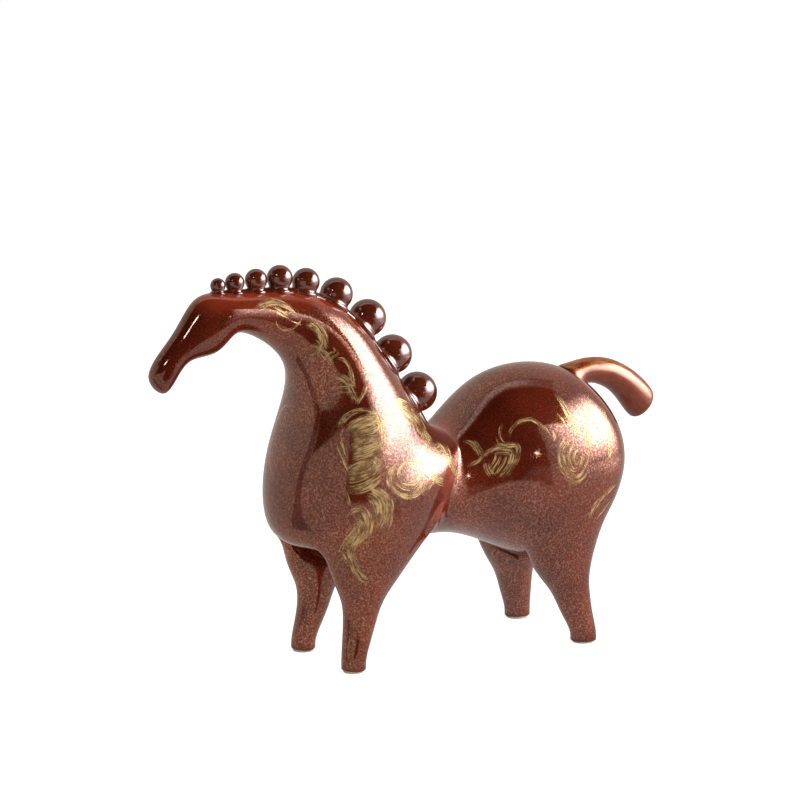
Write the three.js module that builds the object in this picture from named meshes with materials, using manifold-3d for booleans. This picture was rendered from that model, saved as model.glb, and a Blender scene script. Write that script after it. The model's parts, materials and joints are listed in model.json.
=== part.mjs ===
// Glazed stoneware horse statuette: a hollow cast figure with two round barrels, four short legs, an
// arched neck, a row of rolled beads for its mane and a stub of a tail.
// Millimetres, +Z up, head towards -X, left flank towards -Y.
// The sizes below are measured from the point on the floor midway between the four feet. The finished
// figure is moved along X so that its origin is the middle of its bounding box, on the floor.
// Each clay piece is a solid of its own, and a thin joint of slip is left open between each two of them.

import * as THREE from "three";
import { mergeVertices } from "three/addons/utils/BufferGeometryUtils.js";
import Module from "manifold-3d";

const wasm = await Module();
wasm.setup();

// Clay and joints
const WALL = 4.5; // cast wall of the hollow pieces
const SLIP_JOINT = 0.3; // gap between two clay pieces
const FOOT_ROUND = 1.5; // rounding where a leg meets the floor
const VENT_RADIUS = 1.5; // firing vent, drilled up through the belly

// Body sections from the muzzle to the rump: where the top line and the under line pass, and half the
// width across the section.
const SECTIONS = {
  muzzle: { topX: -155.3, topZ: 141.4, underX: -147.6, underZ: 132.5, half: 5.8 },
  nostril: { topX: -150.6, topZ: 151.0, underX: -141.9, underZ: 139.4, half: 7.5 },
  bridge: { topX: -139.8, topZ: 161.8, underX: -135.6, underZ: 150.5, half: 6.8 },
  cheek: { topX: -131.8, topZ: 176.2, underX: -120.3, underZ: 149.6, half: 10.1 },
  brow: { topX: -123.4, topZ: 179.6, underX: -113.8, underZ: 158.3, half: 11.8 },
  poll: { topX: -109.8, topZ: 178.3, underX: -108.2, underZ: 161.4, half: 11.6 },
  nape: { topX: -90.0, topZ: 178.4, underX: -91.8, underZ: 153.6, half: 12.7 },
  crest: { topX: -69.4, topZ: 176.1, underX: -79.4, underZ: 140.6, half: 15.9 },
  midNeck: { topX: -49.8, topZ: 165.1, underX: -78.6, underZ: 121.1, half: 22.9 },
  lowNeck: { topX: -35.4, topZ: 145.5, underX: -87.8, underZ: 99.9, half: 31.9 },
  withers: { topX: -22.6, topZ: 126.6, underX: -91.5, underZ: 81.0, half: 38.6 },
  chest: { topX: -15.6, topZ: 112.5, underX: -88.7, underZ: 55.9, half: 39.6 },
  elbow: { topX: -6.1, topZ: 107.1, underX: -59.8, underZ: 54.5, half: 39.5 },
  girth: { topX: -2.5, topZ: 105.7, underX: -28.0, underZ: 55.2, half: 37.0 },
  waist: { topX: 2.0, topZ: 107.6, underX: -23.0, underZ: 55.5, half: 32.0 },
  loin: { topX: 9.5, topZ: 115.4, underX: 3.0, underZ: 57.4, half: 33.5 },
  flank: { topX: 24.1, topZ: 130.0, underX: 32.7, underZ: 44.1, half: 37.5 },
  hip: { topX: 47.6, topZ: 134.4, underX: 53.7, underZ: 33.0, half: 40.9 },
  croup: { topX: 70.9, topZ: 129.7, underX: 75.3, underZ: 45.5, half: 40.4 },
  dock: { topX: 86.5, topZ: 113.4, underX: 88.3, underZ: 63.7, half: 29.8 },
  buttock: { topX: 93.2, topZ: 98.9, underX: 93.4, underZ: 82.2, half: 11.0 },
};

// The waist is pinched in between the barrels and the chest is full: the share of its width that each
// corner of these sections keeps, from the top line down.
const WAIST = {
  chest: [1.0, 1.0, 1.0, 1.05, 1.08],
  girth: [1.0, 0.93, 0.88, 1.2, 1.2],
  waist: [0.9, 0.65, 0.45, 0.8, 1.0],
};

// Leg sections from the hip to the foot: centre, its distance from the midline, height above the floor,
// and half the length and half the width of the leg.
const FORE_LEG = {
  elbow: { x: -54.9, out: 23.1, z: 45.0, long: 17.9, wide: 14.0 },
  forearm: { x: -55.7, out: 21.6, z: 33.0, long: 9.0, wide: 8.9 },
  knee: { x: -57.8, out: 21.8, z: 20.0, long: 7.4, wide: 7.3 },
  fetlock: { x: -61.9, out: 23.9, z: 7.0, long: 5.8, wide: 5.8 },
};
const HIND_LEG = {
  stifle: { x: 52.7, out: 21.9, z: 37.0, long: 15.0, wide: 13.3 },
  gaskin: { x: 57.3, out: 25.1, z: 26.0, long: 9.3, wide: 9.2 },
  hock: { x: 59.4, out: 26.9, z: 15.0, long: 7.9, wide: 7.8 },
  fetlock: { x: 62.3, out: 29.4, z: 6.0, long: 6.3, wide: 6.2 },
};

// Tail sections from the root, which the rump cuts away, to the blunt end, measured from the dock.
const DOCK = 0.2; // where the dock lies, as a share of the top line from the croup to the dock section
const TAIL = {
  root: { topX: -4.4, topZ: 3.5, underX: 0.6, underZ: -9.5, half: 6.5 },
  lift: { topX: 6.6, topZ: 7.0, underX: 8.1, underZ: -5.0, half: 6.5 },
  arch: { topX: 20.1, topZ: 6.8, underX: 16.1, underZ: -6.5, half: 7.0 },
  bend: { topX: 31.9, topZ: 1.5, underX: 24.6, underZ: -11.2, half: 7.8 },
  fall: { topX: 41.0, topZ: -5.3, underX: 30.8, underZ: -18.8, half: 8.3 },
  rim: { topX: 46.2, topZ: -10.7, underX: 36.2, underZ: -23.7, half: 8.3 },
  end: { topX: 46.8, topZ: -12.9, underX: 38.8, underZ: -22.9, half: 6.6 },
};

// Mane beads from the brow to the withers: radius, clear length of crest before the bead, and how deep
// the bead is pressed into the crest.
const BEADS = {
  mane_bead_1: { radius: 3.5, gap: 0.4, sink: 0.4 },
  mane_bead_2: { radius: 4.5, gap: 0.5, sink: 0.3 },
  mane_bead_3: { radius: 5.2, gap: 1.4, sink: 0.3 },
  mane_bead_4: { radius: 6.0, gap: 0.8, sink: 0.5 },
  mane_bead_5: { radius: 6.4, gap: 0.75, sink: 1.6 },
  mane_bead_6: { radius: 7.7, gap: 2.1, sink: 3.2 },
  mane_bead_7: { radius: 8.85, gap: 2.55, sink: 3.05 },
  mane_bead_8: { radius: 9.3, gap: 3.9, sink: 3.45 },
  mane_bead_9: { radius: 9.6, gap: 3.95, sink: 2.5 },
};

// Fineness of the facets
const BODY_SIDES = 12; // corners of a body section before smoothing
const LEG_COLUMN = Math.floor(BODY_SIDES / 4); // corner of a body section at the top of the hip
const BEAD_SIDES = 16;
const BEAD_RINGS = 8;
const VENT_SIDES = 12;
const REACH = 400; // edge of the blocks that cut along the seams, longer than the figure

// Finish
const GLAZE = { color: "#5b1c14", roughness: 0.1, metalness: 0 };
const DARK_GLAZE = { color: "#3a1712", roughness: 0.1, metalness: 0 };
const DUSTED_GLAZE = { color: "#7a4526", roughness: 0.25, metalness: 0.2 };

const LEFT = new THREE.Vector3(0, -1, 0);
const RIGHT = new THREE.Vector3(0, 1, 0);

const BODY = Object.entries(SECTIONS).map(([name, section]) => ({ ...section, keep: WAIST[name] }));
const station = (name) => Object.keys(SECTIONS).indexOf(name);
const topOf = (section) => new THREE.Vector3(section.topX, 0, section.topZ);
const underOf = (section) => new THREE.Vector3(section.underX, 0, section.underZ);

// Each pair of legs grows out of the body from its row of sections on.
const LEGS = [
  { row: station("chest"), path: Object.values(FORE_LEG) },
  { row: station("flank"), path: Object.values(HIND_LEG) },
];

// Smoothing pulls a ring of corners inwards, so the corners start this many times further out.
const spread = (sides) => 3 / (2 + Math.cos((2 * Math.PI) / sides));

// A surface made of corners and of faces between them, kept coarse until it is smoothed.
class Cage {
  constructor() {
    this.points = [];
    this.faces = [];
  }

  ring(corners) {
    return corners.map((corner) => this.points.push(corner) - 1);
  }

  // The band between two rings, less the faces that a leg grows out of.
  band(ring, next, isOpen = () => false) {
    ring.forEach((corner, i) => {
      const j = (i + 1) % ring.length;
      if (!isOpen(i)) this.faces.push([corner, ring[j], next[j], next[i]]);
    });
  }

  cap(ring) {
    this.faces.push(ring);
  }

  // One round of smoothing: each face becomes quads about its middle, and each corner settles between them.
  smoothed() {
    const made = new Cage();
    made.points = this.points.map((point) => point.clone());
    const hubs = this.faces.map((face) => made.points.push(average(face.map((i) => this.points[i]))) - 1);
    const edges = new Map();
    const key = (a, b) => Math.min(a, b) + " " + Math.max(a, b);
    this.faces.forEach((face, n) =>
      face.forEach((a, k) => {
        const b = face[(k + 1) % face.length];
        if (!edges.has(key(a, b))) edges.set(key(a, b), { ends: [a, b], hubs: [] });
        edges.get(key(a, b)).hubs.push(hubs[n]);
      }),
    );
    const near = this.points.map(() => ({ hubs: [], middles: [] }));
    this.faces.forEach((face, n) => face.forEach((i) => near[i].hubs.push(made.points[hubs[n]])));
    for (const edge of edges.values()) {
      const ends = edge.ends.map((i) => this.points[i]);
      const middle = average(ends);
      edge.ends.forEach((i) => near[i].middles.push(middle));
      edge.point = made.points.push(average([...ends, ...edge.hubs.map((i) => made.points[i])])) - 1;
    }
    near.forEach(({ hubs: around, middles }, i) => {
      const count = around.length;
      if (count === 0) return; // a corner inside the foot of a leg, on no face
      made.points[i]
        .multiplyScalar(count - 3)
        .add(average(around))
        .addScaledVector(average(middles), 2)
        .divideScalar(count);
    });
    this.faces.forEach((face, n) =>
      face.forEach((a, k) => {
        const next = edges.get(key(a, face[(k + 1) % face.length])).point;
        const back = edges.get(key(a, face.at(k - 1))).point;
        made.faces.push([a, next, hubs[n], back]);
      }),
    );
    return made;
  }

  geometry() {
    const geometry = new THREE.BufferGeometry().setFromPoints(this.points);
    geometry.setIndex(this.faces.flatMap(([a, b, c, d]) => [a, b, c, a, c, d]));
    geometry.computeVertexNormals();
    return geometry;
  }
}

function average(points) {
  const sum = points.reduce((total, point) => total.add(point), new THREE.Vector3());
  return sum.divideScalar(points.length);
}

// The corners of a section, from the top line over the left flank and back up the right one.
function sectionRing(section) {
  const top = topOf(section);
  const under = underOf(section);
  const up = top.clone().sub(under).normalize();
  const height = (top.distanceTo(under) / 2) * spread(BODY_SIDES);
  const width = section.half * spread(BODY_SIDES);
  return Array.from({ length: BODY_SIDES }, (_, i) => {
    const turn = (i / BODY_SIDES) * 2 * Math.PI;
    const share = section.keep?.[Math.min(i, BODY_SIDES - i) - 1] ?? 1;
    return average([top, under])
      .addScaledVector(up, height * Math.cos(turn))
      .addScaledVector(LEFT, width * share * Math.sin(turn));
  });
}

// The corners of a leg section, from the front of the flank side back along the flank and in under the belly.
function legRing(section, side, corners) {
  const long = section.long * spread(corners);
  const wide = section.wide * spread(corners);
  return Array.from({ length: corners }, (_, i) => {
    const turn = ((i - 3) / corners) * 2 * Math.PI;
    const along = section.x + long * Math.cos(turn);
    const out = section.out - wide * Math.sin(turn);
    return new THREE.Vector3(along, 0, section.z).addScaledVector(side, out);
  });
}

// A leg grown out of its hip, a patch of the body two faces long and two faces wide.
function growLeg(cage, rings, { row, sections }, side) {
  const column = (k) => (side === LEFT ? LEG_COLUMN + k : BODY_SIDES - LEG_COLUMN - k);
  const corner = (r, k) => rings[row + r][column(k)];
  const hip = [
    [0, 0],
    [1, 0],
    [2, 0],
    [2, 1],
    [2, 2],
    [1, 2],
    [0, 2],
    [0, 1],
  ].map(([r, k]) => corner(r, k));
  const loops = [hip, ...sections.map((section) => cage.ring(legRing(section, side, hip.length)))];
  const facing = loops.map((loop) => (side === LEFT ? loop.toReversed() : loop));
  facing.slice(1).forEach((loop, i) => cage.band(facing[i], loop));
  cage.cap(facing.at(-1));
}

// A cage run through a list of sections, closed at both ends, with a pair of legs at each hip row.
function loft(sections, hips = []) {
  const cage = new Cage();
  const rings = sections.map((section) => cage.ring(sectionRing(section)));
  const columns = [LEG_COLUMN, LEG_COLUMN + 1].flatMap((column) => [column, BODY_SIDES - 1 - column]);
  const rows = hips.flatMap((hip) => [hip.row, hip.row + 1]);
  const isHip = (row, i) => rows.includes(row) && columns.includes(i);
  rings.slice(1).forEach((ring, row) => cage.band(rings[row], ring, (i) => isHip(row, i)));
  cage.cap(rings[0].toReversed());
  cage.cap(rings.at(-1));
  for (const hip of hips) {
    for (const side of [LEFT, RIGHT]) growLeg(cage, rings, hip, side);
  }
  return cage;
}

// The last section of a leg carried down to the floor and turned in under the foot, which ends flat.
function foot(last) {
  const sole = { ...last, z: 0, long: last.long - FOOT_ROUND, wide: last.wide - FOOT_ROUND };
  return [{ ...last, z: FOOT_ROUND }, { ...last, z: 0 }, sole];
}

// The outer surface of the clay.
function skin() {
  const hips = LEGS.map(({ row, path }) => ({ row, sections: [...path, ...foot(path.at(-1))] }));
  return loft(BODY, hips);
}

// The outer surface again, without the nose and the shanks, which the slip fills. It is to be moved in
// by the wall.
function hollow() {
  const first = station("cheek");
  const hips = LEGS.map(({ row, path }) => ({ row: row - first, sections: path.slice(0, 1) }));
  return loft(BODY.slice(first), hips);
}

// A closed geometry as a solid that can be joined and cut.
function solid(geometry) {
  const bare = geometry.clone();
  bare.deleteAttribute("normal");
  bare.deleteAttribute("uv");
  const welded = mergeVertices(bare);
  const vertProperties = welded.attributes.position.array;
  const triVerts = Uint32Array.from(welded.index.array);
  return new wasm.Manifold(new wasm.Mesh({ numProp: 3, vertProperties, triVerts }));
}

// A surface moved out along its normals.
function raised(geometry, distance) {
  const moved = geometry.clone();
  const { position, normal } = moved.attributes;
  const point = new THREE.Vector3();
  const outward = new THREE.Vector3();
  for (let i = 0; i < position.count; i++) {
    point.fromBufferAttribute(position, i);
    outward.fromBufferAttribute(normal, i);
    point.addScaledVector(outward, distance);
    position.setXYZ(i, point.x, point.y, point.z);
  }
  return moved;
}

// A seam halfway between two neighbouring sections: a point on it and how far its front face tips up.
function seamBetween(name, nextName) {
  const pair = [SECTIONS[name], SECTIONS[nextName]];
  const top = average(pair.map(topOf));
  const under = average(pair.map(underOf));
  return { point: average([top, under]), tip: Math.atan2(top.x - under.x, top.z - under.z) };
}

// The level seam halfway between the first two sections of a leg.
function seamBelow([hip, shank]) {
  return { point: new THREE.Vector3(hip.x, 0, (hip.z + shank.z) / 2), tip: Math.PI / 2 };
}

// All the space on one face of a seam, from half a joint away from it.
function beyond(seam, turn) {
  const block = new THREE.BoxGeometry(REACH, REACH, REACH);
  block.translate(-(REACH + SLIP_JOINT) / 2, 0, 0);
  block.rotateY(seam.tip + turn);
  block.translate(seam.point.x, 0, seam.point.z);
  return solid(block);
}
const before = (seam) => beyond(seam, 0);
const behind = (seam) => beyond(seam, Math.PI);

// All the space on one side of the figure.
function flank(side) {
  const block = new THREE.BoxGeometry(REACH, REACH, REACH);
  block.translate(0, (side.y * REACH) / 2, 0);
  return solid(block);
}

// The top line of the smoothed body from one section to another, which can be measured along.
class TopLine extends THREE.Curve {
  constructor(from, to) {
    super();
    this.first = station(from);
    this.last = station(to);
  }

  getPoint(t, target = new THREE.Vector3()) {
    const at = THREE.MathUtils.lerp(this.first, this.last, t);
    const i = Math.min(Math.floor(at), this.last - 1);
    const u = at - i;
    const shares = [(1 - u) ** 3, 4 - 6 * u ** 2 + 3 * u ** 3, 1 + 3 * u + 3 * u ** 2 - 3 * u ** 3, u ** 3];
    target.set(0, 0, 0);
    shares.forEach((share, k) => target.addScaledVector(topOf(BODY[i - 1 + k]), share / 6));
    return target;
  }
}

const horse = new THREE.Group();

function addPiece(name, shape, finish, centre = new THREE.Vector3()) {
  const { vertProperties, triVerts } = shape.getMesh();
  const geometry = new THREE.BufferGeometry();
  geometry.setAttribute("position", new THREE.BufferAttribute(vertProperties, 3));
  geometry.setIndex(new THREE.BufferAttribute(triVerts, 1));
  geometry.translate(-centre.x, -centre.y, -centre.z);
  geometry.computeVertexNormals();
  const mesh = new THREE.Mesh(geometry, new THREE.MeshStandardMaterial(finish));
  mesh.name = name;
  mesh.position.copy(centre);
  horse.add(mesh);
}

// The firing vent, from under the belly up into the hollow
const belly = seamBetween("loin", "flank").point;
const vent = new THREE.CylinderGeometry(VENT_RADIUS, VENT_RADIUS, belly.z, VENT_SIDES);
vent.rotateX(Math.PI / 2);
vent.translate(belly.x, 0, belly.z / 2);

// The cast figure: its round parts from a finely smoothed skin, the slender ones from a coarser one
const coarseSkin = skin().smoothed();
const fineSkin = coarseSkin.smoothed().geometry();
const core = solid(raised(hollow().smoothed().geometry(), -WALL));
const trunk = solid(fineSkin).subtract(core).subtract(solid(vent));
const slender = solid(coarseSkin.geometry()).subtract(core);

// Its clay pieces, cut apart along the seams
const throat = seamBetween("poll", "nape");
const neckBase = seamBetween("lowNeck", "withers");
const waist = seamBetween("girth", "loin");
const foreShanks = seamBelow(Object.values(FORE_LEG));
const hindShanks = seamBelow(Object.values(HIND_LEG));

addPiece("head", slender.intersect(before(throat)), DARK_GLAZE);
addPiece("neck", trunk.intersect(behind(throat)).intersect(before(neckBase)), GLAZE);
const barrels = trunk.intersect(behind(neckBase));
addPiece("fore_barrel", barrels.intersect(before(waist)).intersect(before(foreShanks)), GLAZE);
addPiece("hind_barrel", barrels.intersect(behind(waist)).intersect(before(hindShanks)), GLAZE);
const foreLimbs = slender.intersect(before(waist)).intersect(behind(foreShanks));
const hindLimbs = slender.intersect(behind(waist)).intersect(behind(hindShanks));
addPiece("fore_leg_left", foreLimbs.intersect(flank(LEFT)), GLAZE);
addPiece("fore_leg_right", foreLimbs.intersect(flank(RIGHT)), GLAZE);
addPiece("hind_leg_left", hindLimbs.intersect(flank(LEFT)), GLAZE);
addPiece("hind_leg_right", hindLimbs.intersect(flank(RIGHT)), GLAZE);

// The tail, set on the rump at the dock and hollowed to fit it
const seat = solid(raised(fineSkin, SLIP_JOINT));
const dock = new TopLine("croup", "dock").getPoint(DOCK);
const stub = loft(Object.values(TAIL)).smoothed().geometry();
stub.translate(dock.x, 0, dock.z);
addPiece("tail", solid(stub).subtract(seat), DUSTED_GLAZE);

// The mane beads, set one after another along the crest and hollowed to fit it
const crest = new TopLine("brow", "elbow");
let walked = 0;
for (const [name, { radius, gap, sink }] of Object.entries(BEADS)) {
  const place = (walked + gap + radius) / crest.getLength();
  const along = crest.getTangentAt(place);
  const outward = new THREE.Vector3(-along.z, 0, along.x);
  const centre = crest.getPointAt(place).addScaledVector(outward, radius - sink);
  const ball = new THREE.SphereGeometry(radius, BEAD_SIDES, BEAD_RINGS);
  ball.translate(centre.x, centre.y, centre.z);
  addPiece(name, solid(ball).subtract(seat), DARK_GLAZE, centre);
  walked += gap + 2 * radius;
}

// The finished figure, with its origin on the floor under the middle of its bounding box
const box = new THREE.Box3().setFromObject(horse);
horse.position.x = -(box.min.x + box.max.x) / 2;
const statuette = new THREE.Group();
statuette.add(horse);
statuette.updateMatrixWorld(true);

export default statuette;
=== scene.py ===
# Glazed horse statuette: the looks, built around the fixed frame.
# Metres, +Z up, head towards -X, left flank towards -Y.

import json
from math import atan2, cos, pi, radians, sin

import bmesh
import bpy
from bpy.props import FloatProperty, FloatVectorProperty, IntProperty, PointerProperty
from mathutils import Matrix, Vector
from mathutils.kdtree import KDTree


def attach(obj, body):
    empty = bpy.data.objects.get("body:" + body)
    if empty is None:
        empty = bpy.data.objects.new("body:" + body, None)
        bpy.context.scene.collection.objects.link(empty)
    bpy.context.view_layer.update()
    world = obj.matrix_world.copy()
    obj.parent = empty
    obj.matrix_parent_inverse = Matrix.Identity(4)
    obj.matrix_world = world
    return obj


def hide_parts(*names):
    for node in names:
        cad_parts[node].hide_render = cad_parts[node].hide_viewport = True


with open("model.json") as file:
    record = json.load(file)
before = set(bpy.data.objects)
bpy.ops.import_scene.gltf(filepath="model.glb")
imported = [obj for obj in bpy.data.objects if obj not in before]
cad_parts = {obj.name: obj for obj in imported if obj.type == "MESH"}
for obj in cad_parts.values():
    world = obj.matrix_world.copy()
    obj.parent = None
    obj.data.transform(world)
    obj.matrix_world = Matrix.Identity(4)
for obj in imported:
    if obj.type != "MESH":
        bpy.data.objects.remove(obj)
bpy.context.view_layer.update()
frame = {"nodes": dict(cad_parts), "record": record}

bl_info = {
    "name": "Horse Statuette",
    "version": (1, 0, 0),
    "blender": (4, 5, 0),
    "location": "View3D > Sidebar > Statuette",
    "description": "Adds a glazed ceramic horse with a beaded mane, and a pale stage for it",
    "category": "Add Mesh",
}

MM = 0.001

# Body sections from the muzzle to the rump, in millimetres from the point on the floor midway between the
# feet: where the top line passes (x, z), where the under line passes (x, z), and half the width across.
SECTIONS = {
    "muzzle": (-155.3, 141.4, -147.6, 132.5, 5.8),
    "nostril": (-150.6, 151.0, -141.9, 139.4, 7.5),
    "bridge": (-139.8, 161.8, -135.6, 150.5, 6.8),
    "cheek": (-131.8, 176.2, -120.3, 149.6, 10.1),
    "brow": (-123.4, 179.6, -113.8, 158.3, 11.8),
    "poll": (-109.8, 178.3, -108.2, 161.4, 11.6),
    "nape": (-90.0, 178.4, -91.8, 153.6, 12.7),
    "crest": (-69.4, 176.1, -79.4, 140.6, 15.9),
    "mid_neck": (-49.8, 165.1, -78.6, 121.1, 22.9),
    "low_neck": (-35.4, 145.5, -87.8, 99.9, 31.9),
    "withers": (-22.6, 126.6, -91.5, 81.0, 38.6),
    "chest": (-15.6, 112.5, -88.7, 55.9, 39.6),
    "elbow": (-6.1, 107.1, -59.8, 54.5, 39.5),
    "girth": (-2.5, 105.7, -28.0, 55.2, 37.0),
    "waist": (2.0, 107.6, -23.0, 55.5, 32.0),
    "loin": (9.5, 115.4, 3.0, 57.4, 33.5),
    "flank": (24.1, 130.0, 32.7, 44.1, 37.5),
    "hip": (47.6, 134.4, 53.7, 33.0, 40.9),
    "croup": (70.9, 129.7, 75.3, 45.5, 40.4),
    "dock": (86.5, 113.4, 88.3, 63.7, 29.8),
    "buttock": (93.2, 98.9, 93.4, 82.2, 11.0),
}

# The waist is pinched in between the barrels and the chest is full below: the share of its width that
# each corner of these sections keeps, from the top line down.
WAIST = {
    "chest": (1.0, 1.0, 1.0, 1.05, 1.08),
    "girth": (1.0, 0.87, 0.79, 1.12, 1.2),
    "waist": (0.92, 0.78, 0.78, 0.9, 1.0),
    "loin": (0.98, 0.92, 0.80, 0.92, 1.0),
}

# Leg sections from the hip to the foot: centre x, distance from the midline, height, and half the length
# and half the width of the leg.
FORE_LEG = {
    "elbow": (-54.9, 23.1, 45.0, 17.9, 14.0),
    "forearm": (-55.7, 21.6, 33.0, 9.0, 8.9),
    "knee": (-57.8, 21.8, 20.0, 7.4, 7.3),
    "fetlock": (-61.9, 23.9, 7.0, 5.8, 5.8),
}
HIND_LEG = {
    "stifle": (52.7, 21.9, 37.0, 15.0, 13.3),
    "gaskin": (57.3, 25.1, 26.0, 9.3, 9.2),
    "hock": (59.4, 26.9, 15.0, 7.9, 7.8),
    "fetlock": (62.3, 29.4, 6.0, 6.3, 6.2),
}
FOOT_ROUND = 1.5
GLAZE_EDGE = 0.9
LEG_ROWS = {"chest": FORE_LEG, "flank": HIND_LEG}

# Tail sections from the joint on the rump to the blunt end, like the body's but measured from the dock.
DOCK_STATION = 18.2
TAIL = {
    "joint": (-8.0, 7.5, 4.5, -12.5, 9.6),
    "root": (-1.2, 4.9, 3.6, -8.2, 6.9),
    "lift": (6.6, 7.0, 8.1, -5.0, 6.5),
    "arch": (20.1, 6.8, 16.1, -6.5, 7.0),
    "bend": (31.9, 1.5, 24.6, -11.2, 7.8),
    "fall": (41.0, -5.3, 30.8, -18.8, 8.3),
    "rim": (46.4, -11.2, 35.4, -24.9, 8.4),
    "end": (47.0, -14.2, 38.6, -25.2, 6.9),
}

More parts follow.
